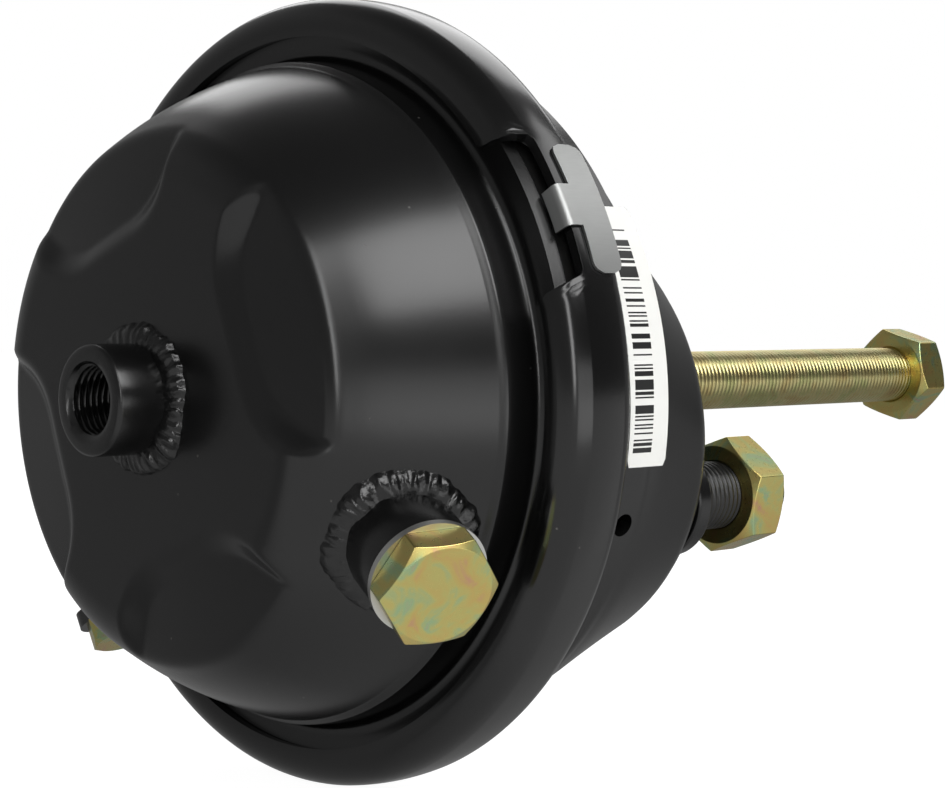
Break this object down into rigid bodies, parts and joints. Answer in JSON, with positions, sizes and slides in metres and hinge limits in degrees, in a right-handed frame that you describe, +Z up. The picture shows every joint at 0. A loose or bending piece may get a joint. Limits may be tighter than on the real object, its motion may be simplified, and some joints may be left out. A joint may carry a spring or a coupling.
{
  "type": "air brake chamber",
  "caption": "Single-diaphragm air brake chamber: two pressed housings in a clamp band, a sprung pushrod with its nut, two mounting studs and two air ports, one plugged.",
  "frame": {"origin": "midway between the two mounting studs, on the plane of their collars where the bracket seats", "axes": "+X along the pushrod's way out; +Z up as in the picture; the studs lie on a line turned 24 degrees about X from the Y axis"},
  "size_m": [0.2926, 0.1951, 0.179],
  "materials": {
    "black_enamel": "semi-gloss black enamel over pressed steel",
    "black_studs": "black phosphate and enamel over threads",
    "yellow_zinc": "yellow passivated zinc plate",
    "bare_aluminium": "bright rolled sheet",
    "rubber": "moulded black rubber",
    "weld_metal": "plated weld bead",
    "spring_steel": "black coated spring wire"
  },
  "bodies": {
    "chamber": {"pressure_housing": "black_enamel", "supply_port_boss": "black_enamel", "supply_port_weld": "black_enamel", "side_port_boss": "black_enamel", "side_port_weld": "black_enamel", "side_port_plug": "yellow_zinc", "side_port_washer": "bare_aluminium", "clamp_band": "black_enamel", "clamp_lugs": "black_enamel", "clamp_bolt": "yellow_zinc", "clamp_nut": "yellow_zinc", "diaphragm": "rubber", "non_pressure_housing": "black_enamel", "stud_plate": "black_enamel", "mounting_studs": "black_studs", "stud_collars": "black_enamel", "stud_nuts": "yellow_zinc", "return_spring": "spring_steel", "name_tag": "bare_aluminium"},
    "pusher": {"push_plate": "yellow_zinc", "pushrod": "yellow_zinc", "pushrod_weld": "weld_metal", "rod_nut": "yellow_zinc"}
  },
  "joints": [
    {"name": "pushrod_stroke", "type": "slide", "parent": "chamber", "child": "pusher", "axis": [1, 0, 0], "range_m": [0, 0.064], "stiffness_N_per_m": 2500, "springref_m": -0.05, "deforming": ["return_spring", "diaphragm"]}
  ]
}
